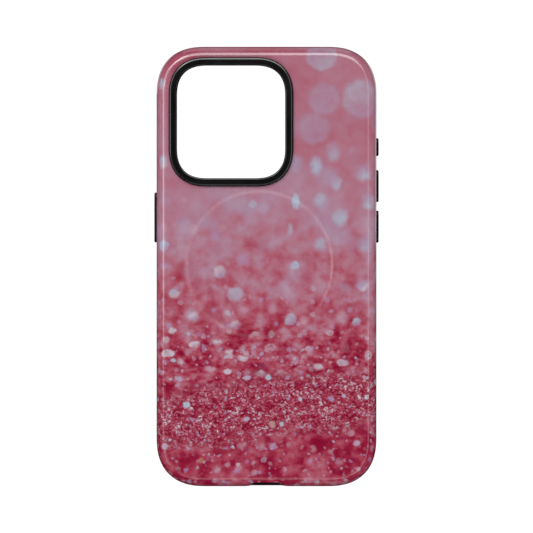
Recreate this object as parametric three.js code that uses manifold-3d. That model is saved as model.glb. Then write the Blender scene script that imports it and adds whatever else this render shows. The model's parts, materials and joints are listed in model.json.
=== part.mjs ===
import * as THREE from 'three';
import { mergeVertices } from 'three/addons/utils/BufferGeometryUtils.js';
import Module from 'manifold-3d';

const wasm = await Module();
wasm.setup();

// Two-layer phone case with a magnet ring and four push keys, in millimetres.
// +Z is up, towards the camera window. The printed back faces -Y and the open front faces +Y.
// The origin is the middle of the liner's floor, where the phone's back rests.

// The phone that the case is sized for, and the free space round it
const PHONE_WIDTH = 70.6;
const PHONE_HEIGHT = 146.6;
const PHONE_DEPTH = 8.25;
const PHONE_PLAY = 0.15;

// Wall thicknesses, and the gaps between shell and liner
const LINER_WALL = 1.15;
const LINER_BACK = 1.5;
const SHELL_WALL = 1.3;
const SHELL_BACK = 1.35;
const SIDE_GAP = 0.15;
const BACK_GAP = 0.05;
const FRONT_GAP = 0.1;

// Insets are measured inwards from the outline of the case
const SHELL_INNER = SHELL_WALL;
const LINER_OUTER = SHELL_INNER + SIDE_GAP;
const CAVITY = LINER_OUTER + LINER_WALL;
const HALF_WIDTH = PHONE_WIDTH / 2 + PHONE_PLAY + CAVITY;
const HALF_HEIGHT = PHONE_HEIGHT / 2 + PHONE_PLAY + CAVITY;
const CORNER_SPAN = 17;
const CORNER_POWER = 2.43;
const CORNER_STEPS = 12;

// Depths along Y
const LINER_BACK_Y = -LINER_BACK;
const SHELL_FLOOR_Y = LINER_BACK_Y - BACK_GAP;
const SHELL_BACK_Y = SHELL_FLOOR_Y - SHELL_BACK;
const SHELL_FRONT_Y = 8.65;
const FLANGE_Y = SHELL_FRONT_Y + FRONT_GAP;
const LIP_UNDER_Y = PHONE_DEPTH + FRONT_GAP;
const FRONT_Y = 9.4;

// Edges
const FLOOR_FILLET = 1.4;
const LIP_OVERHANG = 1.1;
const LIP_CHAMFER = 0.3;
const FLANGE_INSET = 0.3;
const SHELL_ROUNDING = 2.6;
const SHELL_FRONT_CHAMFER = 0.25;
const SHELL_INNER_FILLET = 1.4;
const LINER_BACK_FILLET = 1.25;
const ARC_STEPS = 4;
const BEND = 0.3; // where the middle corner of a two-step rounded edge lies, as a share of its size
const END_ROUNDNESS = 0.98; // share of a slot's half width that its rounded ends take

// Camera window in the shell, and the liner's collar that stands through it
const WINDOW_X = -12.25;
const WINDOW_Z = 50;
const WINDOW_HALF_X = 21.5;
const WINDOW_HALF_Z = 22.3;
const WINDOW_SPAN = 13.5;
const WINDOW_POWER = 2.4;
const WINDOW_STEPS = 9;
const COLLAR_GAP = 0.15;
const COLLAR_WALL = 2.65;
const COLLAR_TOP_Y = SHELL_BACK_Y - 1.8;
const COLLAR_EDGE = 0.45;

// Magnet ring: its centre, the raised band on the shell, and the pocket and magnets under it
const RING_X = -2.5;
const RING_Z = 0.75;
const BAND_OUTER = 25.4;
const BAND_INNER = 18.8;
const BAND_HEIGHT = 0.15;
const BAND_OUTER_SLOPE = 0.9;
const BAND_INNER_SLOPE = 3;
const RING_SIDES = 72;
const POCKET_OUTER = 24.95;
const POCKET_INNER = 20.35;
const POCKET_FLOOR_Y = -0.45;
const FILM_THICKNESS = 0.15;
const MAGNET_COUNT = 18;
const MAGNET_OUTER = 24.5;
const MAGNET_INNER = 20.8;
const MAGNET_THICKNESS = 0.75;
const MAGNET_SPACING = 0.6;
const LAYER_GAP = 0.05;
const EDGE_GAP = 0.25;

// Charging port, its surround on the liner, the dip in that, and the scoop in the shell's back edge
const PORT_HALF_X = 6.2;
const PORT_LOW_Y = 1.2;
const PORT_HIGH_Y = 7;
const SURROUND_HALF_X = 7.6;
const SURROUND_LOW_Y = -0.9;
const SURROUND_HIGH_Y = 7.6;
const SURROUND_INSET = 0.05;
const SURROUND_GAP = 0.3;
const SURROUND_RADIUS = 3.2;
const SCOOP_FLAT_HALF = 3.95;
const SCOOP_HALF = 7.4;
const SCOOP_DEPTH = 1.4;
const SCOOP_STEPS = 7;
const DIP_FLAT_HALF = 4.4;
const DIP_HALF = 7.2;
const DIP_DEPTH = 0.45;
const SOUND_SLOT_X = 18.5;
const SOUND_SLOT_HALF = 5;
const SOUND_SLOT_RADIUS = 1.1;

// Push keys: cap through the shell, flange behind it, pusher towards the phone's own button
const KEY_Y = 4.1;
const KEY_HALF_DEPTH = 1.7;
const KEY_PROUD = 0.83;
const KEY_RADIUS = 1.5;
const KEY_EDGE = 0.4;
const KEY_CLEARANCE = 0.3;
const FLANGE_MARGIN = 0.6;
const FLANGE_HALF_DEPTH = 2.4;
const FLANGE_RADIUS = 0.8;
const FLANGE_THICKNESS = 0.65;
const FLANGE_SETBACK = 0.15;
const PUSHER_THICKNESS = 0.2;
const PUSHER_MARGIN = 1.6;
const PUSHER_HALF_DEPTH = 0.9;
const SMALL_STEPS = 4;
const KEYS = [
  { name: 'action_key', side: 1, z: 41.4, length: 6.2 },
  { name: 'volume_up_key', side: 1, z: 27.9, length: 11.1 },
  { name: 'volume_down_key', side: 1, z: 13.8, length: 11.1 },
  { name: 'side_key', side: -1, z: 17, length: 17.3 },
];

const PAST = 3; // how far a cutter runs past the outside of what it cuts
const THROUGH = 1; // how far a cutter runs past the inside

// ---------- outlines and solids ----------

// A rectangle with superelliptic corners, moved inwards by inset. A power of 2 gives round corners.
function outline(halfA, halfB, span, power, steps, inset = 0) {
  const quarter = [];
  for (let i = 0; i <= steps; i += 1) {
    const angle = (i / steps) * (Math.PI / 2);
    const u = Math.max(Math.cos(angle), 0) ** (2 / power);
    const v = Math.sin(angle) ** (2 / power);
    const normal = new THREE.Vector2(u ** (power - 1), v ** (power - 1)).normalize();
    quarter.push([
      halfA - span + span * u - inset * normal.x,
      halfB - span + span * v - inset * normal.y,
    ]);
  }
  const reversed = [...quarter].reverse();
  return [
    ...quarter,
    ...reversed.map(([a, b]) => [-a, b]),
    ...quarter.map(([a, b]) => [-a, -b]),
    ...reversed.map(([a, b]) => [a, -b]),
  ];
}

const caseOutline = (inset) => (
  outline(HALF_WIDTH, HALF_HEIGHT, CORNER_SPAN, CORNER_POWER, CORNER_STEPS, inset)
);

const windowOutline = (inset) => (
  outline(WINDOW_HALF_X, WINDOW_HALF_Z, WINDOW_SPAN, WINDOW_POWER, WINDOW_STEPS, inset)
    .map(([x, z]) => [x + WINDOW_X, z + WINDOW_Z])
);

const roundedRectangle = (halfA, halfB, radius, inset = 0) => (
  outline(halfA, halfB, radius, 2, SMALL_STEPS, inset)
);

const slot = (halfA, halfB) => roundedRectangle(halfA, halfB, halfB * END_ROUNDNESS);

// Where a loft's outline point (a, b) at a height goes
const alongY = (a, b, height) => [a, height, b];
const alongZ = (a, b, height) => [a, b, height];
const alongX = (a, b, height) => [height, b, a];

function signedVolume(positions, faces) {
  const corners = [new THREE.Vector3(), new THREE.Vector3(), new THREE.Vector3()];
  let volume = 0;
  for (let i = 0; i < faces.length; i += 3) {
    corners.forEach((corner, k) => corner.fromArray(positions, 3 * faces[i + k]));
    volume += corners[0].dot(corners[1].cross(corners[2])) / 6;
  }
  return volume;
}

// A closed solid through a row of convex rings, each { points, height }, with flat ends
function loft(rings, place) {
  const count = rings[0].points.length;
  const last = (rings.length - 1) * count;
  const positions = rings.flatMap(({ points, height }) => (
    points.flatMap(([a, b]) => place(a, b, height))
  ));
  const faces = [];
  for (let start = 0; start < last; start += count) {
    for (let i = 0; i < count; i += 1) {
      const j = (i + 1) % count;
      faces.push(start + i, start + j, start + count + j);
      faces.push(start + i, start + count + j, start + count + i);
    }
  }
  for (let i = 1; i + 1 < count; i += 1) {
    faces.push(0, i + 1, i);
    faces.push(last, last + i, last + i + 1);
  }
  if (signedVolume(positions, faces) < 0) {
    faces.reverse();
  }
  return new wasm.Manifold(new wasm.Mesh({
    numProp: 3,
    vertProperties: new Float32Array(positions),
    triVerts: new Uint32Array(faces),
  }));
}

// A straight prism of one outline between two heights
function prism(points, place, low, high) {
  return loft([{ points, height: low }, { points, height: high }], place);
}

function fromGeometry(geometry) {
  geometry.deleteAttribute('normal');
  geometry.deleteAttribute('uv');
  const merged = mergeVertices(geometry);
  return new wasm.Manifold(new wasm.Mesh({
    numProp: 3,
    vertProperties: merged.attributes.position.array,
    triVerts: merged.index.array,
  }));
}

// A disc or cone round the magnet ring's axis, from lowY to highY
function disc(lowRadius, highRadius, lowY, highY) {
  const geometry = new THREE.CylinderGeometry(highRadius, lowRadius, highY - lowY, RING_SIDES);
  geometry.translate(RING_X, (lowY + highY) / 2, RING_Z);
  return fromGeometry(geometry);
}

// A quarter arc of the section, from a point on the wall to a point on the back or floor
function quarterArc(wallInset, wallY, floorInset, floorY) {
  const arc = [];
  for (let i = 0; i <= ARC_STEPS; i += 1) {
    const angle = (i / ARC_STEPS) * (Math.PI / 2);
    arc.push([
      floorInset + (wallInset - floorInset) * Math.cos(angle),
      wallY + (floorY - wallY) * Math.sin(angle),
    ]);
  }
  return arc;
}

// A tray whose section is a row of [inset, y] points, from its floor over the rim to its back
function tray(section) {
  return loft(section.map(([inset, y]) => ({ points: caseOutline(inset), height: y })), alongY);
}

function makeMesh(name, solid, material) {
  const { vertProperties, triVerts } = solid.getMesh();
  const geometry = new THREE.BufferGeometry();
  geometry.setAttribute('position', new THREE.BufferAttribute(vertProperties, 3));
  geometry.setIndex(new THREE.BufferAttribute(triVerts, 1));
  geometry.computeVertexNormals();
  const mesh = new THREE.Mesh(geometry, material);
  mesh.name = name;
  return mesh;
}

// ---------- openings shared by shell and liner ----------

function soundSlots() {
  const shape = slot(SOUND_SLOT_HALF, SOUND_SLOT_RADIUS);
  const cut = (side) => prism(
    shape.map(([x, y]) => [x + side * SOUND_SLOT_X, y + KEY_Y]),
    alongZ,
    -HALF_HEIGHT - PAST,
    -HALF_HEIGHT + CAVITY + THROUGH,
  );
  return cut(1).add(cut(-1));
}

// The surround of the charging port, grown by a gap, from the bottom edge up to a height
function surroundBlock(gap, low, high) {
  const middle = (SURROUND_LOW_Y + SURROUND_HIGH_Y) / 2;
  const halfY = (SURROUND_HIGH_Y - SURROUND_LOW_Y) / 2 + gap;
  const shape = roundedRectangle(SURROUND_HALF_X + gap, halfY, SURROUND_RADIUS + gap)
    .map(([x, y]) => [x, y + middle]);
  return prism(shape, alongZ, low, high);
}

// A cutter along Y for a shallow hollow with sloping ends in the bottom edge
function hollow(flatHalf, half, depth, low, high) {
  const slope = [];
  for (let i = 0; i <= SCOOP_STEPS; i += 1) {
    const along = i / SCOOP_STEPS;
    slope.push([
      flatHalf + (half - flatHalf) * along,
      -HALF_HEIGHT + (depth * (1 + Math.cos(Math.PI * along))) / 2,
    ]);
  }
  const foot = [[half, -HALF_HEIGHT - PAST], [-half, -HALF_HEIGHT - PAST]];
  const points = [...slope, ...foot, ...slope.map(([x, z]) => [-x, z]).reverse()];
  const shape = new THREE.Shape(points.map(([x, z]) => new THREE.Vector2(x, z)));
  const geometry = new THREE.ExtrudeGeometry(shape, { depth: high - low, bevelEnabled: false });
  geometry.rotateX(Math.PI / 2);
  geometry.translate(0, high, 0);
  return fromGeometry(geometry);
}

// The hole that one key needs in a side wall, between two distances from the case's middle
function keyHole({ side, z, length }, margin, halfDepth, radius, low, high) {
  const shape = roundedRectangle(length / 2 + margin, halfDepth, radius)
    .map(([a, b]) => [a + z, b + KEY_Y]);
  return prism(shape, (a, b, height) => alongX(a, b, side * height), low, high);
}

// ---------- outer shell ----------

function magnetBand() {
  const bandTop = SHELL_BACK_Y - BAND_HEIGHT;
  const root = SHELL_BACK_Y + SHELL_BACK / 2;
  const crest = BAND_INNER + BAND_INNER_SLOPE;
  const outer = disc(BAND_OUTER - BAND_OUTER_SLOPE, BAND_OUTER, bandTop, SHELL_BACK_Y)
    .add(disc(BAND_OUTER, BAND_OUTER, SHELL_BACK_Y, root));
  const inner = disc(crest, BAND_INNER, bandTop, SHELL_BACK_Y)
    .add(disc(BAND_INNER, BAND_INNER, SHELL_BACK_Y, root))
    .add(disc(crest, crest, bandTop - THROUGH, bandTop));
  return outer.subtract(inner);
}

function outerShell() {
  const body = tray([
    ...quarterArc(
      SHELL_INNER,
      SHELL_FLOOR_Y + SHELL_INNER_FILLET,
      SHELL_INNER + SHELL_INNER_FILLET,
      SHELL_FLOOR_Y,
    ).reverse(),
    [SHELL_INNER, SHELL_FRONT_Y],
    [SHELL_FRONT_CHAMFER, SHELL_FRONT_Y],
    [0, SHELL_FRONT_Y - SHELL_FRONT_CHAMFER],
    ...quarterArc(0, SHELL_BACK_Y + SHELL_ROUNDING, SHELL_ROUNDING, SHELL_BACK_Y),
  ]);
  const cameraWindow = prism(windowOutline(0), alongY, SHELL_BACK_Y - PAST, 0);
  const port = surroundBlock(
    SURROUND_GAP,
    -HALF_HEIGHT - PAST,
    -HALF_HEIGHT + SHELL_INNER + SHELL_INNER_FILLET,
  );
  const scoop = hollow(SCOOP_FLAT_HALF, SCOOP_HALF, SCOOP_DEPTH, SHELL_BACK_Y - PAST, SURROUND_LOW_Y);
  let shell = body.add(magnetBand()).subtract(cameraWindow).subtract(port).subtract(scoop);
  shell = shell.subtract(soundSlots());
  for (const key of KEYS) {
    shell = shell.subtract(keyHole(
      key,
      KEY_CLEARANCE,
      KEY_HALF_DEPTH + KEY_CLEARANCE,
      KEY_RADIUS + KEY_CLEARANCE,
      HALF_WIDTH - SHELL_INNER - SIDE_GAP,
      HALF_WIDTH + PAST,
    ));
  }
  return shell;
}

// ---------- inner liner ----------

function collar() {
  return loft([
    { points: windowOutline(COLLAR_GAP), height: LINER_BACK_Y + LINER_BACK / 2 },
    { points: windowOutline(COLLAR_GAP), height: COLLAR_TOP_Y + COLLAR_EDGE },
    {
      points: windowOutline(COLLAR_GAP + COLLAR_EDGE * BEND),
      height: COLLAR_TOP_Y + COLLAR_EDGE * BEND,
    },
    { points: windowOutline(COLLAR_GAP + COLLAR_EDGE), height: COLLAR_TOP_Y },
  ], alongY);
}

function collarHole() {
  const inner = COLLAR_GAP + COLLAR_WALL;
  return loft([
    { points: windowOutline(inner - COLLAR_EDGE), height: COLLAR_TOP_Y - PAST },
    { points: windowOutline(inner - COLLAR_EDGE), height: COLLAR_TOP_Y },
    { points: windowOutline(inner), height: COLLAR_TOP_Y + COLLAR_EDGE },
    { points: windowOutline(inner), height: PAST },
  ], alongY);
}

function innerLiner() {
  const body = tray([
    ...quarterArc(CAVITY, FLOOR_FILLET, CAVITY + FLOOR_FILLET, 0).reverse(),
    [CAVITY, LIP_UNDER_Y],
    [CAVITY + LIP_OVERHANG, LIP_UNDER_Y],
    [CAVITY + LIP_OVERHANG, FRONT_Y - LIP_CHAMFER],
    [CAVITY + LIP_OVERHANG - LIP_CHAMFER, FRONT_Y],
    [FLANGE_INSET + LIP_CHAMFER, FRONT_Y],
    [FLANGE_INSET, FRONT_Y - LIP_CHAMFER],
    [FLANGE_INSET, FLANGE_Y],
    [LINER_OUTER, FLANGE_Y],
    ...quarterArc(
      LINER_OUTER,
      LINER_BACK_Y + LINER_BACK_FILLET,
      LINER_OUTER + LINER_BACK_FILLET,
      LINER_BACK_Y,
    ),
  ]);
  const pocket = disc(POCKET_OUTER, POCKET_OUTER, LINER_BACK_Y - THROUGH, POCKET_FLOOR_Y)
    .subtract(disc(POCKET_INNER, POCKET_INNER, LINER_BACK_Y - THROUGH, POCKET_FLOOR_Y));
  const surround = surroundBlock(
    0,
    -HALF_HEIGHT + SURROUND_INSET,
    -HALF_HEIGHT + LINER_OUTER + LINER_WALL / 2,
  ).subtract(hollow(DIP_FLAT_HALF, DIP_HALF, DIP_DEPTH, LINER_BACK_Y, FRONT_Y));
  const port = prism(
    slot(PORT_HALF_X, (PORT_HIGH_Y - PORT_LOW_Y) / 2)
      .map(([x, y]) => [x, y + (PORT_LOW_Y + PORT_HIGH_Y) / 2]),
    alongZ,
    -HALF_HEIGHT - PAST,
    -HALF_HEIGHT + CAVITY + THROUGH,
  );
  let liner = body.add(collar()).subtract(collarHole()).subtract(pocket);
  liner = liner.add(surround).subtract(port).subtract(soundSlots());
  for (const key of KEYS) {
    liner = liner.subtract(keyHole(
      key,
      FLANGE_MARGIN + KEY_CLEARANCE,
      FLANGE_HALF_DEPTH + KEY_CLEARANCE,
      FLANGE_RADIUS,
      HALF_WIDTH - CAVITY - THROUGH,
      HALF_WIDTH - SHELL_INNER,
    ));
  }
  return liner;
}

// ---------- push keys ----------

// One key about its own centre, pointing along +X from the case's middle plane
function keySolid(length) {
  const flangeOuter = HALF_WIDTH - SHELL_INNER - FLANGE_SETBACK;
  const flangeInner = flangeOuter - FLANGE_THICKNESS;
  const capTop = HALF_WIDTH + KEY_PROUD;
  const capRing = (inset, height) => (
    { points: roundedRectangle(length / 2, KEY_HALF_DEPTH, KEY_RADIUS, inset), height }
  );
  const cap = loft([
    capRing(0, flangeOuter - FLANGE_THICKNESS / 2),
    capRing(0, capTop - KEY_EDGE),
    capRing(KEY_EDGE * BEND, capTop - KEY_EDGE * BEND),
    capRing(KEY_EDGE, capTop),
  ], alongX);
  const flange = prism(
    roundedRectangle(length / 2 + FLANGE_MARGIN, FLANGE_HALF_DEPTH, FLANGE_RADIUS),
    alongX,
    flangeInner,
    flangeOuter,
  );
  const pusher = prism(
    slot(length / 2 - PUSHER_MARGIN, PUSHER_HALF_DEPTH),
    alongX,
    flangeInner - PUSHER_THICKNESS,
    flangeInner + FLANGE_THICKNESS / 2,
  );
  return cap.add(flange).add(pusher);
}

function keyMeshes(material) {
  return KEYS.map(({ name, side, z, length }) => {
    const mesh = makeMesh(name, keySolid(length), material);
    mesh.position.set(0, KEY_Y, z);
    mesh.rotation.z = side > 0 ? 0 : Math.PI;
    return mesh;
  });
}

// ---------- magnet ring ----------

function magnetGeometry() {
  const halfTurn = Math.PI / MAGNET_COUNT - MAGNET_SPACING / (MAGNET_INNER + MAGNET_OUTER);
  const shape = new THREE.Shape();
  shape.absarc(0, 0, MAGNET_OUTER, -halfTurn, halfTurn, false);
  shape.absarc(0, 0, MAGNET_INNER, halfTurn, -halfTurn, true);
  const geometry = new THREE.ExtrudeGeometry(shape, {
    depth: MAGNET_THICKNESS,
    bevelEnabled: false,
    curveSegments: 3,
  });
  geometry.rotateX(Math.PI / 2);
  return geometry;
}

function carrierFilm() {
  const high = POCKET_FLOOR_Y - LAYER_GAP;
  const low = high - FILM_THICKNESS;
  const outer = POCKET_OUTER - EDGE_GAP;
  const inner = POCKET_INNER + EDGE_GAP;
  return disc(outer, outer, low, high)
    .subtract(disc(inner, inner, low - THROUGH, high + THROUGH));
}

function magnetRing(material) {
  const ring = new THREE.Group();
  const solid = fromGeometry(magnetGeometry());
  ring.position.set(RING_X, POCKET_FLOOR_Y - 2 * LAYER_GAP - FILM_THICKNESS, RING_Z);
  for (let i = 0; i < MAGNET_COUNT; i += 1) {
    const magnet = makeMesh(`ring_magnet_${String(i + 1).padStart(2, '0')}`, solid, material);
    magnet.rotation.y = ((i + 0.5) / MAGNET_COUNT) * 2 * Math.PI;
    ring.add(magnet);
  }
  return ring;
}

// ---------- the whole case ----------

const shellPrint = new THREE.MeshStandardMaterial({ color: 0xa66f84, roughness: 0.15, metalness: 0 });
const linerBlack = new THREE.MeshStandardMaterial({ color: 0x0c0c0d, roughness: 0.45, metalness: 0 });
const keyBlack = new THREE.MeshStandardMaterial({ color: 0x101011, roughness: 0.35, metalness: 0 });
const magnetNickel = new THREE.MeshStandardMaterial({ color: 0xb9bbbd, roughness: 0.3, metalness: 1 });
const filmWhite = new THREE.MeshStandardMaterial({ color: 0xd8d8d4, roughness: 0.5, metalness: 0 });

const group = new THREE.Group();
group.add(makeMesh('outer_shell', outerShell(), shellPrint));
group.add(makeMesh('inner_liner', innerLiner(), linerBlack));
group.add(makeMesh('ring_carrier_film', carrierFilm(), filmWhite));
group.add(magnetRing(magnetNickel));
group.add(...keyMeshes(keyBlack));

export default group;
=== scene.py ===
import json
import math
import random

import bmesh
import bpy
from mathutils import Matrix, Vector


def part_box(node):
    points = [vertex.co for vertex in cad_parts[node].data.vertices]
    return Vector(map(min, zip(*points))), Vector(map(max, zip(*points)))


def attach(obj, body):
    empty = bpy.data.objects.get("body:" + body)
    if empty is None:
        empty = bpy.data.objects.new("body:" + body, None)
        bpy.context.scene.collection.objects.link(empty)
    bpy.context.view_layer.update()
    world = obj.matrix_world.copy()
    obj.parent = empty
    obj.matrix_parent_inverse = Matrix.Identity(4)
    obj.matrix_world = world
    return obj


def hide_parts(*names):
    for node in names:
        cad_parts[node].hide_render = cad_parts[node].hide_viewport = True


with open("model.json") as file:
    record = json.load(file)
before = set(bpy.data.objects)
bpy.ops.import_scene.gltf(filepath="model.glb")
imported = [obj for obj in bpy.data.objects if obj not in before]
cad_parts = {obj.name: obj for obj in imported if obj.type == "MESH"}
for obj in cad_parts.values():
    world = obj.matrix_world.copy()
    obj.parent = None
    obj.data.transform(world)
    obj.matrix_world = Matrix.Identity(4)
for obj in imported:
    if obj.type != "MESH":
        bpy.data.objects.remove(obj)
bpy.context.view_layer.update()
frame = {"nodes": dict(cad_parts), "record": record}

MM = 0.001
FULL = 255.0  # the brightest screen colour

# ---------------------------------------------------------------- sizes
# What the frame holds: the boxes of the shell, the liner and the film, and the openings' places
shell_low, shell_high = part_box("outer_shell")
liner_low, liner_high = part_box("inner_liner")
film_low, film_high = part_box("ring_carrier_film")
openings = {item["name"]: item["box_m"] for item in frame["record"]["physics"]["openings"]}

HALF_X = (shell_high.x - shell_low.x) / 2
HALF_Z = (shell_high.z - shell_low.z) / 2
BAND_HEIGHT = 0.15 * MM
BACK_Y = shell_low.y + BAND_HEIGHT
SHELL_FRONT_Y = shell_high.y
COLLAR_TOP_Y = liner_low.y
FRONT_Y = liner_high.y
RING_CENTRE = (film_low + film_high) / 2
window_low, window_high = (Vector(corner) for corner in openings["camera_window_wide"])
WINDOW_CENTRE = (window_low + window_high) / 2

# Outline of the case: how far a corner reaches along each side, its power (2 is a plain arc), its steps
# in a quarter, and insets from the outline
CORNER_SPAN = 17 * MM
CORNER_POWER = 2.43
CORNER_STEPS = 26
SHELL_WALL = 1.3 * MM
LINER_OUTER = 1.45 * MM
CAVITY = 2.6 * MM
LIP_OVERHANG = 1.1 * MM
FLANGE_INSET = 0.3 * MM

# Depths
SHELL_BACK = 1.35 * MM
BACK_GAP = 0.05 * MM
LINER_BACK_Y = BACK_Y + SHELL_BACK + BACK_GAP
FLANGE_Y = SHELL_FRONT_Y + 0.1 * MM
LIP_UNDER_Y = 8.35 * MM

# Edges
ARC_STEPS = 10
ROUND_STEPS = 10
SHELL_ROUNDING = 3.3 * MM
SHELL_EDGE = 0.3 * MM
INNER_FILLET = 1.4 * MM
LINER_BACK_FILLET = 1.25 * MM
SMALL_EDGE = 0.28 * MM
MOUTH = 0.22 * MM
END_ROUNDNESS = 0.98  # corner radius of a round-ended slot, as a share of its half width
PAST = 4 * MM  # how far a cutter runs on outside the piece
OVERLAP = 1 * MM  # how far parts that are joined, or cut, run into each other

# How many straight steps a rounding has: a mouth's, a small edge's, a fillet's and a soft slope's
MOUTH_STEPS = 4
EDGE_STEPS = 5
FILLET_STEPS = 6
SOFT_STEPS = 8

# Camera window and collar; the bevel starts and ends at insets from the collar's outer wall
WINDOW_HALF_X = 21.5 * MM
WINDOW_HALF_Z = 22.3 * MM
WINDOW_SPAN = 13.5 * MM
WINDOW_POWER = 2.4
WINDOW_STEPS = 22
COLLAR_GAP = 0.15 * MM
COLLAR_WALL = 2.65 * MM
COLLAR_EDGE = 0.45 * MM
BEVEL_START = 0.36 * MM
BEVEL_END = 0.7 * MM
BEVEL_DROP = 0.08 * MM

# Magnet ring: the raised band and the pocket behind it, as radii, and how wide the band's slopes are
BAND_OUTER = 26.2 * MM
BAND_INNER = 18.8 * MM
BAND_OUTER_SLOPE = 2.0 * MM
BAND_INNER_SLOPE = 3.0 * MM
POCKET_OUTER = 24.95 * MM
POCKET_INNER = 20.35 * MM
POCKET_FLOOR_Y = -0.45 * MM
RING_STEPS = 160

# Port, its surround, the scoop in the shell's back edge and the sound slots
PORT_HALF_X = 6.2 * MM
PORT_Y = (1.2 * MM, 7.0 * MM)
SURROUND_HALF_X = 7.6 * MM
SURROUND_Y = (-0.9 * MM, 7.6 * MM)
SURROUND_RADIUS = 3.2 * MM
SURROUND_GAP = 0.3 * MM
SURROUND_INSET = 0.05 * MM
SCOOP_FLAT_HALF = 3.95 * MM
SCOOP_HALF = 7.4 * MM
SCOOP_DEPTH = 1.4 * MM
SCOOP_STEPS = 18
DIP_FLAT_HALF = 4.4 * MM
DIP_HALF = 7.2 * MM
DIP_DEPTH = 0.45 * MM
SLOT_X = 18.5 * MM
SLOT_HALF = 5 * MM
SLOT_RADIUS = 1.1 * MM

# Keys
KEYS = ("action_key", "volume_up_key", "volume_down_key", "side_key")
KEY_HALF_Y = 1.7 * MM
KEY_RADIUS = 1.5 * MM
KEY_EDGE = 0.45 * MM
KEY_CLEARANCE = 0.3 * MM
KEY_FLANGE_MARGIN = 0.6 * MM
KEY_FLANGE_HALF_Y = 2.4 * MM
KEY_FLANGE_RADIUS = 0.8 * MM
KEY_FLANGE = 0.65 * MM
KEY_PUSHER = 0.2 * MM
KEY_PUSHER_MARGIN = 1.6 * MM
KEY_PUSHER_HALF_Y = 0.9 * MM
KEY_Y = sum(corner.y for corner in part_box("side_key")) / 2


# ---------------------------------------------------------------- outlines and meshes
# Shading: edges sharper than the angle stay crisp, and points closer than the weld become one
SMOOTH_ANGLE = math.radians(32)
WELD = 0.002 * MM
NORMAL_WEIGHT = 50


def outline(half_a, half_b, span, power, steps, inset=0.0):
    """A rectangle with superelliptic corners, moved inwards by inset, as a list of (a, b)."""
    quarter = []
    for i in range(steps + 1):
        angle = i / steps * math.pi / 2
        u = max(math.cos(angle), 0.0) ** (2 / power)
        v = math.sin(angle) ** (2 / power)
        normal = Vector((u ** (power - 1), v ** (power - 1))).normalized()
        quarter.append((half_a - span + span * u - inset * normal.x,
                        half_b - span + span * v - inset * normal.y))
    back = quarter[::-1]
    return (quarter + [(-a, b) for a, b in back]
            + [(-a, -b) for a, b in quarter] + [(a, -b) for a, b in back])


def case_outline(inset):
    return outline(HALF_X, HALF_Z, CORNER_SPAN, CORNER_POWER, CORNER_STEPS, inset)


def window_outline(inset):
    points = outline(WINDOW_HALF_X, WINDOW_HALF_Z, WINDOW_SPAN, WINDOW_POWER, WINDOW_STEPS, inset)
    return [(a + WINDOW_CENTRE.x, b + WINDOW_CENTRE.z) for a, b in points]


def rounded(half_a, half_b, radius, inset=0.0, centre=(0.0, 0.0)):
    """A rectangle with plain round corners."""
    points = outline(half_a, half_b, radius, 2, ROUND_STEPS, inset)
    return [(a + centre[0], b + centre[1]) for a, b in points]


def circle(radius, centre=(RING_CENTRE.x, RING_CENTRE.z)):
    turn = 2 * math.pi / RING_STEPS
    return [(centre[0] + radius * math.cos(i * turn), centre[1] + radius * math.sin(i * turn))
            for i in range(RING_STEPS)]


def along_y(a, b, height):
    return (a, height, b)


def along_z(a, b, height):
    return (a, b, height)


def along_x(a, b, height):
    return (height, b, a)


def loft(name, rings, place):
    """A closed mesh through rings of (points, height), with a flat face at each end."""
    count = len(rings[0][0])
    verts = [place(a, b, height) for points, height in rings for a, b in points]
    faces = []
    for start in range(0, (len(rings) - 1) * count, count):
        for i in range(count):
            j = (i + 1) % count
            faces.append((start + i, start + j, start + count + j, start + count + i))
    faces.append(tuple(range(count))[::-1])
    faces.append(tuple(range((len(rings) - 1) * count, len(rings) * count)))
    mesh = bpy.data.meshes.new(name)
    mesh.from_pydata(verts, [], faces)
    shape = bmesh.new()
    shape.from_mesh(mesh)
    bmesh.ops.recalc_face_normals(shape, faces=shape.faces)
    shape.to_mesh(mesh)
    shape.free()
    piece = bpy.data.objects.new(name, mesh)
    bpy.context.scene.collection.objects.link(piece)
    return piece


def arc(wall, floor, steps=ARC_STEPS):
    """Points of a quarter arc from (inset, y) on the wall to (inset, y) on the floor."""
    points = []
    for i in range(steps + 1):
        angle = i / steps * math.pi / 2
        points.append((floor[0] + (wall[0] - floor[0]) * math.cos(angle),
                       wall[1] + (floor[1] - wall[1]) * math.sin(angle)))
    return points


def tray(name, section):
    return loft(name, [(case_outline(inset), y) for inset, y in section], along_y)


def mouth_rings(shape, surface, inside, radius=MOUTH, steps=MOUTH_STEPS):
    """Rings of a cutter whose mouth, at the surface, is rounded over; shape(grow) is its outline."""
    way = math.copysign(1.0, surface - inside)
    rings = [(shape(radius), surface + way * PAST)]
    for i in range(steps + 1):
        angle = i / steps * math.pi / 2
        depth = radius * (1 - math.cos(angle))
        rings.append((shape(radius * (1 - math.sin(angle))), surface - way * depth))
    rings.append((shape(0.0), inside))
    return rings


def middle_and_half(low, high):
    return (low + high) / 2, (high - low) / 2


def boolean(piece, other, operation):
    """Joins other to piece or cuts it away, and removes other."""
    modifier = piece.modifiers.new("boolean", "BOOLEAN")
    modifier.operation = operation
    modifier.solver = "EXACT"
    modifier.object = other
    apply_modifiers(piece)
    bpy.data.objects.remove(other)


def apply_modifiers(piece):
    graph = bpy.context.evaluated_depsgraph_get()
    mesh = bpy.data.meshes.new_from_object(piece.evaluated_get(graph))
    piece.modifiers.clear()
    old = piece.data
    piece.data = mesh
    bpy.data.meshes.remove(old)


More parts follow.
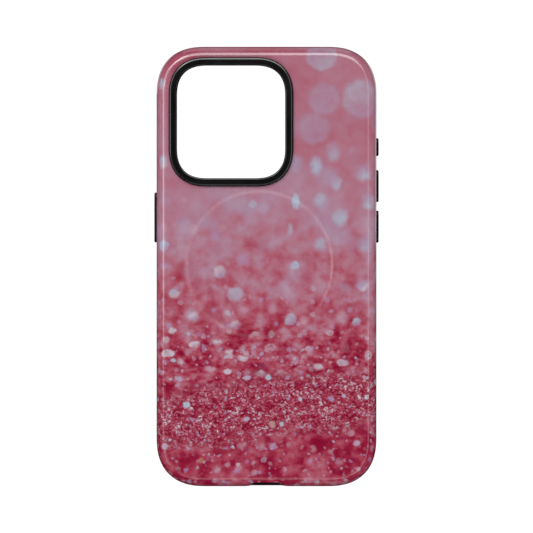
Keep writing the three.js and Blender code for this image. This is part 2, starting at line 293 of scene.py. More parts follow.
def smooth(piece):
    """Smooth shading with flat faces kept flat and real corners kept crisp."""
    shape = bmesh.new()
    shape.from_mesh(piece.data)
    bmesh.ops.remove_doubles(shape, verts=shape.verts, dist=WELD)
    bmesh.ops.dissolve_degenerate(shape, edges=shape.edges, dist=WELD)
    shape.to_mesh(piece.data)
    shape.free()
    piece.data.shade_smooth()
    piece.data.set_sharp_from_angle(angle=SMOOTH_ANGLE)
    modifier = piece.modifiers.new("weighted_normals", "WEIGHTED_NORMAL")
    modifier.keep_sharp = True
    modifier.weight = NORMAL_WEIGHT


# ---------------------------------------------------------------- openings
def port_cutter(half_x, low, high, radius, surface, inside):
    middle, half_y = middle_and_half(low, high)

    def shape(grow):
        return rounded(half_x, half_y, radius, -grow, (0.0, middle))

    return loft("port_cutter", mouth_rings(shape, surface, inside), along_z)


def slot_cutter(side, surface):
    def shape(grow):
        return rounded(SLOT_HALF, SLOT_RADIUS, SLOT_RADIUS * END_ROUNDNESS, -grow, (side * SLOT_X, KEY_Y))

    return loft("slot_cutter", mouth_rings(shape, surface, -HALF_Z + CAVITY + OVERLAP), along_z)


def key_facts(name):
    """Side (+1 or -1), height of the centre, and half length of the cap of a key."""
    low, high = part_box(name)
    side = math.copysign(1.0, low.x + high.x)
    return side, (low.z + high.z) / 2, (high.z - low.z) / 2 - KEY_FLANGE_MARGIN


def key_cutter(name, margin, half_y, radius, surface, inside):
    side, z, half = key_facts(name)

    def shape(grow):
        return rounded(half + margin, half_y, radius, -grow, (z, KEY_Y))

    return loft("key_cutter", mouth_rings(shape, side * surface, side * inside), along_x)


# ---------------------------------------------------------------- shell
def shell_section():
    """Section of the shell from its floor over the front edge, down the side and round to the back."""
    floor_y = BACK_Y + SHELL_BACK
    inner = arc((SHELL_WALL, floor_y + INNER_FILLET), (SHELL_WALL + INNER_FILLET, floor_y))[::-1]
    front_in = arc((SHELL_WALL, SHELL_FRONT_Y - SMALL_EDGE), (SHELL_WALL - SMALL_EDGE, SHELL_FRONT_Y),
                   MOUTH_STEPS)
    front_out = arc((0.0, SHELL_FRONT_Y - SHELL_EDGE), (SHELL_EDGE, SHELL_FRONT_Y), EDGE_STEPS)[::-1]
    outer = arc((0.0, BACK_Y + SHELL_ROUNDING), (SHELL_ROUNDING, BACK_Y), ARC_STEPS * 2)
    return inner + front_in + front_out + outer


def band():
    """The faint raised band over the magnets, with soft slopes."""
    root = BACK_Y + SHELL_BACK / 2
    outer = [(circle(BAND_OUTER), root)]
    inner = [(circle(BAND_INNER), root + OVERLAP)]
    for i in range(SOFT_STEPS + 1):
        along = i / SOFT_STEPS
        height = BACK_Y - BAND_HEIGHT * (1 - math.cos(math.pi * along)) / 2
        outer.append((circle(BAND_OUTER - BAND_OUTER_SLOPE * along), height))
        inner.append((circle(BAND_INNER + BAND_INNER_SLOPE * along), height))
    inner.append((circle(BAND_INNER + BAND_INNER_SLOPE), BACK_Y - OVERLAP))
    piece = loft("band", outer, along_y)
    boolean(piece, loft("band_hole", inner, along_y), "DIFFERENCE")
    return piece


def hollow_cutter(flat_half, half, depth, low, high):
    """A cutter along Y for a shallow hollow with sloping ends in the bottom edge."""
    slope = []
    for i in range(SCOOP_STEPS + 1):
        along = i / SCOOP_STEPS
        slope.append((flat_half + (half - flat_half) * along,
                      -HALF_Z + depth * (1 + math.cos(math.pi * along)) / 2))
    foot = [(half, -HALF_Z - PAST), (-half, -HALF_Z - PAST)]
    shape = slope + foot + [(-x, z) for x, z in slope[::-1]]
    return loft("hollow", [(shape, low), (shape, high)], along_y)


def make_shell():
    shell = tray("printed_shell", shell_section())
    boolean(shell, band(), "UNION")

    def window(grow):
        return window_outline(-grow)

    boolean(shell, loft("window", mouth_rings(window, BACK_Y, 0.0), along_y), "DIFFERENCE")
    port = port_cutter(SURROUND_HALF_X + SURROUND_GAP, SURROUND_Y[0] - SURROUND_GAP,
                       SURROUND_Y[1] + SURROUND_GAP, SURROUND_RADIUS + SURROUND_GAP,
                       -HALF_Z, -HALF_Z + SHELL_WALL + INNER_FILLET)
    boolean(shell, port, "DIFFERENCE")
    scoop = hollow_cutter(SCOOP_FLAT_HALF, SCOOP_HALF, SCOOP_DEPTH, BACK_Y - PAST, SURROUND_Y[0])
    boolean(shell, scoop, "DIFFERENCE")
    for side in (1, -1):
        boolean(shell, slot_cutter(side, -HALF_Z), "DIFFERENCE")
    for name in KEYS:
        cutter = key_cutter(name, KEY_CLEARANCE, KEY_HALF_Y + KEY_CLEARANCE, KEY_RADIUS + KEY_CLEARANCE,
                            HALF_X, HALF_X - LINER_OUTER)
        boolean(shell, cutter, "DIFFERENCE")
    return shell


# ---------------------------------------------------------------- liner
def liner_section():
    """Section of the liner from its floor to the lip, over lip and flange, and round to the back."""
    lip = CAVITY + LIP_OVERHANG
    floor = arc((CAVITY, INNER_FILLET), (CAVITY + INNER_FILLET, 0.0))[::-1]
    lip_under = [(CAVITY, LIP_UNDER_Y), (lip - SMALL_EDGE / 2, LIP_UNDER_Y),
                 (lip, LIP_UNDER_Y + SMALL_EDGE / 2)]
    lip_in = arc((lip, FRONT_Y - SMALL_EDGE), (lip - SMALL_EDGE, FRONT_Y), EDGE_STEPS)
    lip_out = arc((FLANGE_INSET, FRONT_Y - SMALL_EDGE), (FLANGE_INSET + SMALL_EDGE, FRONT_Y),
                  EDGE_STEPS)[::-1]
    flange = [(FLANGE_INSET, FLANGE_Y), (LINER_OUTER, FLANGE_Y)]
    back = arc((LINER_OUTER, LINER_BACK_Y + LINER_BACK_FILLET),
               (LINER_OUTER + LINER_BACK_FILLET, LINER_BACK_Y), FILLET_STEPS)
    return floor + lip_under + lip_in + lip_out + flange + back


def collar():
    """The raised collar, with rounded edge, shallow bevel and flat top, and the cutter of its hole."""
    inner = COLLAR_GAP + COLLAR_WALL
    bevel_y = COLLAR_TOP_Y + BEVEL_DROP
    rings = [(window_outline(COLLAR_GAP), LINER_BACK_Y + OVERLAP)]
    for inset, y in arc((0.0, bevel_y + BEVEL_START), (BEVEL_START, bevel_y), FILLET_STEPS):
        rings.append((window_outline(COLLAR_GAP + inset), y))
    rings.append((window_outline(COLLAR_GAP + BEVEL_END), COLLAR_TOP_Y))
    body = loft("collar", rings, along_y)

    def hole(grow):
        return window_outline(inner - grow)

    return body, loft("hole", mouth_rings(hole, COLLAR_TOP_Y, PAST, COLLAR_EDGE, SOFT_STEPS), along_y)


def magnet_pocket():
    """Cutter of the ring-shaped pocket that holds the magnets."""
    pocket = loft("pocket", [(circle(POCKET_OUTER), LINER_BACK_Y - OVERLAP),
                             (circle(POCKET_OUTER), POCKET_FLOOR_Y)], along_y)
    core = loft("core", [(circle(POCKET_INNER), LINER_BACK_Y - 2 * OVERLAP),
                         (circle(POCKET_INNER), POCKET_FLOOR_Y + OVERLAP)], along_y)
    boolean(pocket, core, "DIFFERENCE")
    return pocket


def port_surround(face):
    """The liner's block round the port, out to the face height, with a shallow dip along that face."""
    middle, half_y = middle_and_half(*SURROUND_Y)

    def ring(inset, height):
        return rounded(SURROUND_HALF_X, half_y, SURROUND_RADIUS, inset, (0.0, middle)), height

    rings = [ring(0.0, -HALF_Z + CAVITY - OVERLAP / 2)]
    for inset, height in arc((0.0, face + SMALL_EDGE), (SMALL_EDGE, face), EDGE_STEPS):
        rings.append(ring(inset, height))
    surround = loft("surround", rings, along_z)
    dip = hollow_cutter(DIP_FLAT_HALF, DIP_HALF, DIP_DEPTH, LINER_BACK_Y, FRONT_Y)
    boolean(surround, dip, "DIFFERENCE")
    return surround


def make_liner():
    liner = tray("soft_liner", liner_section())
    body, hole = collar()
    boolean(liner, body, "UNION")
    boolean(liner, hole, "DIFFERENCE")
    boolean(liner, magnet_pocket(), "DIFFERENCE")
    face = -HALF_Z + SURROUND_INSET
    boolean(liner, port_surround(face), "UNION")
    port = port_cutter(PORT_HALF_X, *PORT_Y, (PORT_Y[1] - PORT_Y[0]) / 2 * END_ROUNDNESS,
                       face + DIP_DEPTH, -HALF_Z + CAVITY + OVERLAP)
    boolean(liner, port, "DIFFERENCE")
    for side in (1, -1):
        boolean(liner, slot_cutter(side, -HALF_Z + LINER_OUTER), "DIFFERENCE")
    for name in KEYS:
        cutter = key_cutter(name, KEY_FLANGE_MARGIN + KEY_CLEARANCE, KEY_FLANGE_HALF_Y + KEY_CLEARANCE,
                            KEY_FLANGE_RADIUS, HALF_X - SHELL_WALL, HALF_X - CAVITY - OVERLAP)
        boolean(liner, cutter, "DIFFERENCE")
    return liner


# ---------------------------------------------------------------- keys
def make_key(name):
    """A push key: rounded cap outside, flange behind the shell, small pusher towards the phone."""
    side, z, half = key_facts(name)
    low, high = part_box(name)
    top = max(abs(low.x), abs(high.x))
    pusher_end = min(abs(low.x), abs(high.x))
    flange_inner = pusher_end + KEY_PUSHER
    flange_outer = flange_inner + KEY_FLANGE

    def ring(inset, height):
        return rounded(half, KEY_HALF_Y, KEY_RADIUS, inset, (z, KEY_Y)), side * height

    rings = [ring(0.0, flange_outer - KEY_FLANGE / 2)]
    for inset, height in arc((0.0, top - KEY_EDGE), (KEY_EDGE, top), SOFT_STEPS):
        rings.append(ring(inset, height))
    piece = loft(name + "_cap", rings, along_x)

    def block(part_name, half_a, half_b, radius, near, far):
        shape = rounded(half_a, half_b, radius, 0.0, (z, KEY_Y))
        return loft(part_name, [(shape, side * near), (shape, side * far)], along_x)

    flange = block("flange", half + KEY_FLANGE_MARGIN, KEY_FLANGE_HALF_Y, KEY_FLANGE_RADIUS,
                   flange_inner, flange_outer)
    boolean(piece, flange, "UNION")
    pusher = block("pusher", half - KEY_PUSHER_MARGIN, KEY_PUSHER_HALF_Y,
                   KEY_PUSHER_HALF_Y * END_ROUNDNESS, pusher_end, flange_inner + KEY_FLANGE / 2)
    boolean(piece, pusher, "UNION")
    return piece


# ---------------------------------------------------------------- shader graphs
def linear(red, green, blue):
    """A screen colour, 0 to 255, as the linear colour a shader takes."""
    def decode(value):
        """The sRGB curve, undone."""
        value /= FULL
        return value / 12.92 if value <= 0.04045 else ((value + 0.055) / 1.055) ** 2.4

    return (decode(red), decode(green), decode(blue), 1.0)


class Graph:
    """A material's node tree, with one short call for each kind of node."""

    MIX_A, MIX_B, MIX_RESULT = 6, 7, 2  # the colour sockets of a Mix node

    def __init__(self, name):
        self.material = bpy.data.materials.new(name)
        self.material.use_nodes = True
        self.tree = self.material.node_tree
        self.tree.nodes.clear()
        output = self.add("OutputMaterial")
        self.shader = self.add("BsdfPrincipled")
        self.tree.links.new(self.shader.outputs["BSDF"], output.inputs["Surface"])

    def add(self, kind):
        return self.tree.nodes.new("ShaderNode" + kind)

    def feed(self, socket, value):
        if isinstance(value, bpy.types.NodeSocket):
            self.tree.links.new(value, socket)
        else:
            socket.default_value = value

    def set(self, **values):
        for name, value in values.items():
            self.feed(self.shader.inputs[name.replace("_", " ")], value)

    def position(self):
        """The piece's own coordinates in millimetres."""
        node = self.add("TexCoord")
        return self.scaled(node.outputs["Object"], 1 / MM)

    def scaled(self, vector, factor):
        node = self.add("VectorMath")
        node.operation = "SCALE"
        self.feed(node.inputs[0], vector)
        node.inputs["Scale"].default_value = factor
        return node.outputs[0]

    def product(self, vector, factors):
        node = self.add("VectorMath")
        node.operation = "MULTIPLY"
        self.feed(node.inputs[0], vector)
        self.feed(node.inputs[1], factors)
        return node.outputs[0]

    def shifted(self, vector, offset):
        node = self.add("VectorMath")
        self.feed(node.inputs[0], vector)
        self.feed(node.inputs[1], offset)
        return node.outputs[0]

    def math(self, operation, a, b=0.0, c=0.0):
        node = self.add("Math")
        node.operation = operation
        for socket, value in zip(node.inputs, (a, b, c)):
            self.feed(socket, value)
        return node.outputs[0]

    def split(self, vector):
        node = self.add("SeparateXYZ")
        self.feed(node.inputs[0], vector)
        return node.outputs

    def join(self, x, y):
        node = self.add("CombineXYZ")
        self.feed(node.inputs[0], x)
        self.feed(node.inputs[1], y)
        return node.outputs[0]

    def step(self, value, low, high, start=0.0, end=1.0):
        """A smooth step from start to end, as value goes from low to high."""
        node = self.add("MapRange")
        node.interpolation_type = "SMOOTHSTEP"
        for name, number in (("Value", value), ("From Min", low), ("From Max", high),
                             ("To Min", start), ("To Max", end)):
            self.feed(node.inputs[name], number)
        return node.outputs[0]

    def noise(self, vector, size, detail=2.0, roughness=0.5):
        """Noise with features of about size millimetres, from 0 to 1."""
        return self.noise_node(vector, size, detail, roughness).outputs[0]

    def noise_colour(self, vector, size):
        """Three noises at once, as a colour or a vector."""
        return self.noise_node(vector, size, 2.0, 0.5).outputs["Color"]

    def noise_node(self, vector, size, detail, roughness):
        node = self.add("TexNoise")
        self.feed(node.inputs["Vector"], vector)
        node.inputs["Scale"].default_value = 1 / size
        node.inputs["Detail"].default_value = detail
        node.inputs["Roughness"].default_value = roughness
        return node

    def cells(self, vector, size):
        """Random points about size millimetres apart: (distance in mm, three random numbers)."""
        node = self.add("TexVoronoi")
        node.voronoi_dimensions = "2D"
        self.feed(node.inputs["Vector"], vector)
        node.inputs["Scale"].default_value = 1 / size
        return self.math("MULTIPLY", node.outputs["Distance"], size), self.split(node.outputs["Color"])

    def ramp(self, value, stops):
        """Colours along 0 to 1, from a list of (place, linear colour)."""
        node = self.add("ValToRGB")
        self.feed(node.inputs[0], value)
        elements = node.color_ramp.elements
        while len(elements) < len(stops):
            elements.new(0.5)
        for element, (place, colour) in zip(elements, stops):
            element.position = place
            element.color = colour
        return node.outputs[0]

    def mix(self, factor, a, b):
        node = self.add("Mix")
        node.data_type = "RGBA"
        self.feed(node.inputs[0], factor)
        self.feed(node.inputs[self.MIX_A], a)
        self.feed(node.inputs[self.MIX_B], b)
        return node.outputs[self.MIX_RESULT]

    def bump(self, height, distance):
        node = self.add("Bump")
        self.feed(node.inputs["Height"], height)
        node.inputs["Distance"].default_value = distance
        node.inputs["Strength"].default_value = 1.0
        self.tree.links.new(node.outputs[0], self.shader.inputs["Normal"])


# ---------------------------------------------------------------- the print: colours and places
GLOSS_VEIL = 0.008  # even light that the gloss adds to every colour of the print
PRINT_GAIN = 1.92  # how much brighter than its pigment the lit print shows


def pigment(red, green, blue):
    """The paint that shows as a screen colour, 0 to 255, once it is lit and under gloss."""
    shown = linear(red, green, blue)
    return tuple(max(value - GLOSS_VEIL, 0.0) / PRINT_GAIN for value in shown[:3]) + (1.0,)


# Colours of the print, from deep crimson to dusty pink, and of its pale and dark spots
NIGHT_RED = pigment(112, 12, 40)
CRIMSON_DEEP = pigment(130, 26, 52)
CRIMSON = pigment(140, 36, 60)
RED_ROSE = pigment(156, 62, 81)
ROSE = pigment(164, 82, 99)
DUSTY_ROSE = pigment(168, 102, 119)
DUSTY = pigment(168, 120, 138)
MAUVE = pigment(172, 136, 154)
HAZE_BLUE = pigment(160, 150, 176)
PALE_PINK = pigment(184, 148, 163)
LAVENDER = pigment(160, 132, 172)
PALE_BLUE = pigment(160, 184, 202)
SILVER = pigment(190, 192, 202)
GOLD = pigment(176, 122, 92)
PLUM = pigment(112, 44, 92)

PINKS = [(0.0, CRIMSON_DEEP), (0.15, CRIMSON), (0.35, RED_ROSE), (0.5, ROSE), (0.65, DUSTY_ROSE),
         (0.82, DUSTY), (1.0, MAUVE)]
GRAIN_TINTS = [(0.0, NIGHT_RED), (0.25, CRIMSON), (0.6, RED_ROSE), (0.8, DUSTY_ROSE), (0.93, PALE_PINK),
               (1.0, SILVER)]
PALE_TINTS = [PALE_PINK, HAZE_BLUE, LAVENDER, PALE_PINK, PALE_BLUE]
BRIGHT_TINTS = [PALE_PINK, SILVER, LAVENDER, SILVER, PALE_BLUE, GOLD]

# How the print changes up the back, as the arguments of a step: from height, to height (both in
# millimetres from the middle of the case), value below and value above
PINKNESS = (-62.0, 36.0, 0.27, 0.84)
PINKNESS_AT_TOP = (24.0, 46.0, 0.0, -0.17)
MEDIUM_PATCHES = (-30.0, 45.0, 1.2, 0.35)
SMALL_PATCHES = (-15.0, 30.0, 1.1, 0.2)
FINE_PATCHES = (-34.0, -8.0, 1.3, 0.0)
FINE_PATCHES_AT_FOOT = (-60.0, -42.0, 0.4, 1.0)
HAZE = (-25.0, 20.0, 0.0, 1.0)
HAZE_AT_TOP = (28.0, 44.0, 1.0, 0.2)
UPPER = (5.0, 38.0, 0.0, 1.0)
MIDDLE = (-42.0, -12.0, 0.0, 1.0)
MIDDLE_AT_TOP = (25.0, 50.0, 1.0, 0.2)
LOWER = (-24.0, 14.0, 1.0, 0.0)
LOWEST = (-36.0, -14.0, 1.0, 0.0)
DOTS_AT_FOOT = (-74.0, -56.0, 0.45, 0.8)

# The band of glitter that is in focus: height of its middle line, its rise per millimetre, how far the
# middle line wanders, and how far from it the glitter begins and ends to fade
BAND_MIDDLE = -49.0
BAND_RISE = 0.13
BAND_WANDER = 10.0
BAND_CORE = 4.5
BAND_FADE = 13.0
GRAINS = ((1.3, 3.0, 0.9), (0.9, 9.0, 0.7), (0.6, 17.0, 0.6), (0.42, 23.0, 0.5))  # size, shift, share
GRAIN_COVER = 0.85
CLUMPING = 1.2

# The middle value of noise, and about how far it swings to each side
NOISE_MIDDLE = 0.5
NOISE_SWING = 0.25

# Broad shades along the top: (x, z, half width, half height, softness, strength, colour, lower colour)
BROAD_SHADES = [
    (-30, 72, 16.0, 8.0, 0.7, 0.9, RED_ROSE, RED_ROSE),
    (0, 76, 24.0, 3.5, 0.8, 0.8, RED_ROSE, RED_ROSE),
    (27, 63, 16.0, 17.0, 1.0, 0.5, MAUVE, MAUVE),
]

# Larger blurred spots, thrown at random into zones, smaller and sharper towards the bottom:
# (how many, x from and to, z from and to, radius, flatness, softness, strength, colours)
SPOT_SEED = 8
SPOT_TRIES = 8
SPOT_ZONES = [
    (4, (14, 36), (46, 74), (5.8, 7.6), (0.9, 1.1), (0.25, 0.4), (0.4, 0.55),
     (PALE_BLUE, HAZE_BLUE)),
    (2, (-37, -35), (34, 66), (2.6, 4.0), (0.6, 0.9), (0.6, 0.8), (0.7, 0.9),
     (SILVER, PALE_BLUE)),
    (12, (6, 36), (4, 42), (2.2, 4.6), (0.5, 1.1), (0.6, 0.9), (0.65, 0.95),
     (PALE_BLUE, HAZE_BLUE, PALE_BLUE)),
    (5, (-36, 0), (0, 22), (1.6, 3.0), (0.7, 1.1), (0.6, 0.9), (0.5, 0.65),
     (HAZE_BLUE, LAVENDER, PALE_BLUE)),
    (10, (-37, 37), (-22, 10), (1.7, 2.8), (0.9, 1.2), (0.4, 0.7), (0.6, 0.95),
     (SILVER, PALE_BLUE, HAZE_BLUE)),
    (18, (-36, 36), (-37, -21), (0.9, 1.6), (1.1, 2.0), (0.3, 0.7), (0.7, 0.95),
     (SILVER, PALE_PINK, SILVER)),
]

# Looks inside a larger spot, by its reach: 0 in its middle, 1 at its edge
SPOT_END = 1.05
SPOT_BODY = (0.4, 0.95, 0.75, 1.0)  # a little fainter in the middle than towards the edge
SPOT_SLANT = -0.6
SPOT_TINT_CHANGE = (-0.7, 0.5)


# ---------------------------------------------------------------- the print: layers
def thrown_spots():
    """Where the larger spots fall, each in the emptiest of a few random places in its zone."""
    draw = random.Random(SPOT_SEED)
    found = []
    for count, across, up, radius, flatness, softness, strength, tints in SPOT_ZONES:
        for _ in range(count):
            tries = [(draw.uniform(*across), draw.uniform(*up)) for _ in range(SPOT_TRIES)]
            room = [min((math.dist(place, spot[:2]) for spot in found), default=0.0) for place in tries]
            x, z = tries[room.index(max(room))]
            half = draw.uniform(*radius)
            look = (draw.uniform(*softness), draw.uniform(*strength), draw.choice(tints),
                    draw.choice(tints))
            found.append((x, z, half * draw.uniform(*flatness), half) + look)
    return found


def warped(graph, plane, size, amount):
    """The plane pushed about unevenly, by up to about amount millimetres."""
    centred = graph.shifted(graph.noise_colour(plane, size), (-NOISE_MIDDLE,) * 3)
    return graph.shifted(plane, graph.scaled(centred, amount / NOISE_SWING))


def spots(graph, plane, colour):
    """The broad shades and the larger spots, painted one over another, with an uneven glint."""
    glint = graph.step(graph.noise(plane, size=3.0), low=0.35, high=0.65, start=0.8, end=1.1)
    for spot in BROAD_SHADES + thrown_spots():
        x, z, half_width, half_height, softness, strength, tint, lower_tint = spot
        place = graph.shifted(plane, (-x, -z, 0.0))
        across, up, _ = graph.split(graph.product(place, (1 / half_width, 1 / half_height, 0.0)))
        squares = graph.math("MULTIPLY_ADD", across, across, graph.math("POWER", up, 2.0))
        reach = graph.math("SQRT", squares)
        mask = graph.step(reach, 1 - softness, SPOT_END, strength, 0.0)
        mask = graph.math("MULTIPLY", mask, graph.step(reach, *SPOT_BODY))
        mask = graph.math("MULTIPLY", mask, glint)
        slant = graph.math("MULTIPLY_ADD", across, SPOT_SLANT, up)
        spot_colour = graph.mix(graph.step(slant, *SPOT_TINT_CHANGE), lower_tint, tint)
        colour = graph.mix(mask, colour, spot_colour)
    return colour


def scatter(graph, plane, colour, where, strength, size, radius, softness, share, shift, tints):
    """Random round spots over a colour: one for a share of the cells of that size, in millimetres."""
    distance, (width, choice, tint) = graph.cells(graph.shifted(plane, (shift, -shift, 0.0)), size)
    reach = graph.math("MULTIPLY_ADD", width, radius[1] - radius[0], radius[0])
    mask = graph.step(distance, graph.math("MULTIPLY", reach, 1 - softness), reach, 1.0, 0.0)
    mask = graph.math("MULTIPLY", mask, graph.math("LESS_THAN", choice, share))
    mask = graph.math("MULTIPLY", mask, graph.math("MULTIPLY", where, strength))
    places = [(i / (len(tints) - 1), item) for i, item in enumerate(tints)]
    return graph.mix(mask, colour, graph.ramp(tint, places))


def wrapped_plane(graph):
    """The print's own plane in millimetres: the back's x and z, carried on round the edges and sides."""
    x, y, z = graph.split(graph.position())
    normal = graph.add("NewGeometry").outputs["Normal"]
    normal_x, _, normal_z = graph.split(normal)
    depth = graph.math("MAXIMUM", graph.math("SUBTRACT", y, BACK_Y / MM), 0.0)
    across = graph.math("MULTIPLY_ADD", normal_x, depth, x)
    up = graph.math("MULTIPLY_ADD", normal_z, depth, z)
    return graph.join(across, up), across, up


def mottle(graph, plane, shift, size, weight, detail=2.0):
    """Soft random patches of about size millimetres, that swing to both sides of zero."""
    patch = graph.noise(graph.shifted(plane, shift), size, detail)
    return graph.math("MULTIPLY", graph.math("SUBTRACT", patch, NOISE_MIDDLE), weight)


def print_base(graph, plane, up):
    """Soft patches of dusty pink that turn to crimson, and to finer patches, towards the bottom."""
    broad_plane = graph.product(plane, (0.7, 1.3, 1.0))
    fine_plane = graph.product(plane, (0.7, 1.2, 1.0))
    fine = graph.step(up, *FINE_PATCHES)
    fine = graph.math("MULTIPLY", fine, graph.step(up, *FINE_PATCHES_AT_FOOT))
    pinkness = graph.math("ADD", graph.step(up, *PINKNESS), graph.step(up, *PINKNESS_AT_TOP))
    for patches in (
        mottle(graph, broad_plane, (0.0, 0.0, 0.0), size=24.0, weight=0.45, detail=1.0),
        mottle(graph, plane, (40.0, 15.0, 0.0), size=9.0, weight=graph.step(up, *MEDIUM_PATCHES)),
        mottle(graph, plane, (-25.0, 60.0, 0.0), size=4.4, weight=graph.step(up, *SMALL_PATCHES)),
        mottle(graph, fine_plane, (70.0, -44.0, 0.0), size=2.1, weight=fine),
    ):
        pinkness = graph.math("ADD", pinkness, patches)
    colour = graph.ramp(pinkness, PINKS)
    haze = graph.noise(graph.shifted(plane, (90.0, -30.0, 0.0)), size=13.0, roughness=0.4)
    amount = graph.step(haze, low=0.48, high=0.72, start=0.0, end=0.5)
    amount = graph.math("MULTIPLY", amount, graph.step(up, *HAZE))
    amount = graph.math("MULTIPLY", amount, graph.step(up, *HAZE_AT_TOP))
    return graph.mix(amount, colour, HAZE_BLUE)


def band_mask(graph, plane, across, up):
    """Where the glitter is in focus: 1 along the slanting band, 0 away from it."""
    line = graph.math("MULTIPLY_ADD", across, BAND_RISE, BAND_MIDDLE)
    away = graph.math("ABSOLUTE", graph.math("SUBTRACT", up, line))
    wander = graph.math("SUBTRACT", graph.noise(plane, size=14.0, detail=1.0), NOISE_MIDDLE)
    away = graph.math("MULTIPLY_ADD", wander, BAND_WANDER, away)
    return graph.step(away, BAND_CORE, BAND_FADE, 1.0, 0.0)


def glitter_band(graph, plane, colour, band):
    """Small sharp grains, some in clumps, in the band that is in focus."""
    grain_plane = graph.product(plane, (0.8, 1.15, 1.0))
    clump = graph.noise(graph.shifted(plane, (12.0, 77.0, 0.0)), size=3.4, detail=3.0, roughness=0.6)
    clump = graph.math("SUBTRACT", clump, 0.55)
    for size, shift, share in GRAINS:
        _, (level, choice, _) = graph.cells(graph.shifted(grain_plane, (shift, shift, 0.0)), size)
        level = graph.math("MULTIPLY_ADD", clump, CLUMPING, level)
        mask = graph.math("MULTIPLY", graph.math("LESS_THAN", choice, share), GRAIN_COVER)
        colour = graph.mix(graph.math("MULTIPLY", band, mask), colour, graph.ramp(level, GRAIN_TINTS))
    return colour


def print_material():
    """The glossy glitter print, painted in layers from the soft ground to the sharp dots."""
    graph = Graph("glitter_print")
    plane, across, up = wrapped_plane(graph)
    bent = warped(graph, plane, size=2.4, amount=0.45)
    ragged = warped(graph, bent, size=0.8, amount=0.14)
    upper = graph.step(up, *UPPER)
    middle = graph.math("MULTIPLY", graph.step(up, *MIDDLE), graph.step(up, *MIDDLE_AT_TOP))
    lower = graph.step(up, *LOWER)
    lowest = graph.step(up, *LOWEST)
    dots = graph.math("MULTIPLY", lowest, graph.step(up, *DOTS_AT_FOOT))

    colour = print_base(graph, plane, up)
    colour = scatter(graph, bent, colour, upper, strength=0.18, size=15.0, radius=(3.2, 5.6),
                     softness=0.35, share=0.35, shift=31.0, tints=[MAUVE, HAZE_BLUE, LAVENDER])
    colour = scatter(graph, bent, colour, middle, strength=0.4, size=9.5, radius=(1.6, 3.3),
                     softness=0.75, share=0.45, shift=57.0, tints=[MAUVE, PALE_PINK, HAZE_BLUE])
    colour = scatter(graph, bent, colour, lower, strength=0.5, size=6.4, radius=(1.0, 2.2),
                     softness=0.8, share=0.5, shift=83.0, tints=[PALE_PINK, MAUVE, PALE_PINK])
    colour = spots(graph, bent, colour)
    colour = scatter(graph, ragged, colour, lower, strength=0.55, size=4.2, radius=(0.6, 1.5),
                     softness=0.6, share=0.45, shift=21.0, tints=PALE_TINTS)
    colour = scatter(graph, ragged, colour, lowest, strength=0.6, size=3.6, radius=(0.4, 1.1),
                     softness=0.7, share=0.3, shift=66.0, tints=[NIGHT_RED, CRIMSON_DEEP, PLUM])
    colour = scatter(graph, ragged, colour, lowest, strength=0.6, size=2.2, radius=(0.5, 1.0),
                     softness=0.8, share=0.55, shift=38.0,
                     tints=[CRIMSON, DUSTY_ROSE, CRIMSON_DEEP, PALE_PINK])
    colour = glitter_band(graph, ragged, colour, band_mask(graph, plane, across, up))
    colour = scatter(graph, ragged, colour, dots, strength=0.8, size=2.4, radius=(0.3, 0.8),
                     softness=0.5, share=0.3, shift=45.0, tints=PALE_TINTS)
    colour = scatter(graph, ragged, colour, dots, strength=1.0, size=7.5, radius=(0.8, 1.6),
                     softness=0.6, share=0.45, shift=12.0, tints=BRIGHT_TINTS)

    place = graph.position()
    smudge = graph.noise(place, size=9.0, detail=3.0, roughness=0.6)
    gloss = graph.step(smudge, low=0.3, high=0.75, start=0.09, end=0.14)
    graph.set(Base_Color=colour, Roughness=gloss, IOR=1.5)
    graph.bump(graph.noise(place, size=2.4), 0.003 * MM)
    return graph.material


# ---------------------------------------------------------------- other materials
# Shades of black plastic, as shares of its level in red, green and blue
DARK = (1.0, 1.0, 1.06)
LIGHTER = (1.7, 1.7, 1.85)
DUST = (4, 4, 4)


def shade(level, shares):
    return tuple(level * share for share in shares) + (1.0,)


def moulded_black(name, level, roughness, shine, grain):
    """Moulded black plastic or rubber: fine grain, faint flow marks and uneven satin."""
    graph = Graph(name)
    place = graph.position()
    flow = graph.noise(place, size=11.0, detail=3.0, roughness=0.55)
    dust = graph.noise(place, size=0.5, roughness=0.7)
    colour = graph.ramp(flow, [(0.3, shade(level, DARK)), (0.75, shade(level, LIGHTER))])
    dusty = graph.step(dust, low=0.66, high=0.8, start=0.0, end=0.25)
    colour = graph.mix(dusty, colour, shade(level, DUST))
    satin = graph.step(flow, low=0.3, high=0.7, start=roughness - 0.03, end=roughness + 0.03)
    graph.set(Base_Color=colour, Roughness=satin, IOR=1.5, Specular_IOR_Level=shine)
    graph.bump(graph.noise(place, grain, detail=3.0, roughness=0.6), 0.001 * MM)
    return graph.material


def magnet_material():
    """Nickel plating with faint tumbling marks."""
    graph = Graph("nickel_plate")
    place = graph.position()
    marks = graph.noise(place, size=0.8, detail=4.0, roughness=0.7)
    cloud = graph.noise(place, size=3.0)
    colour = graph.ramp(cloud, [(0.3, linear(186, 184, 180)), (0.7, linear(208, 207, 204))])
    satin = graph.step(marks, low=0.3, high=0.7, start=0.2, end=0.38)
    graph.set(Base_Color=colour, Metallic=1.0, Roughness=satin)
    graph.bump(marks, 0.01 * MM)
    return graph.material


def film_material():
    """Thin white carrier film with a slightly uneven surface."""
    graph = Graph("carrier_film")
    place = graph.position()
    wave = graph.noise(place, size=5.0)
    colour = graph.ramp(wave, [(0.2, linear(214, 214, 210)), (0.8, linear(232, 232, 228))])
    graph.set(Base_Color=colour, Roughness=graph.step(wave, low=0.3, high=0.7, start=0.35, end=0.55))
    graph.bump(graph.noise(place, size=0.6, detail=3.0), 0.01 * MM)
    return graph.material


# ---------------------------------------------------------------- assembly
def dress(piece, material):
    piece.data.materials.clear()
    piece.data.materials.append(material)


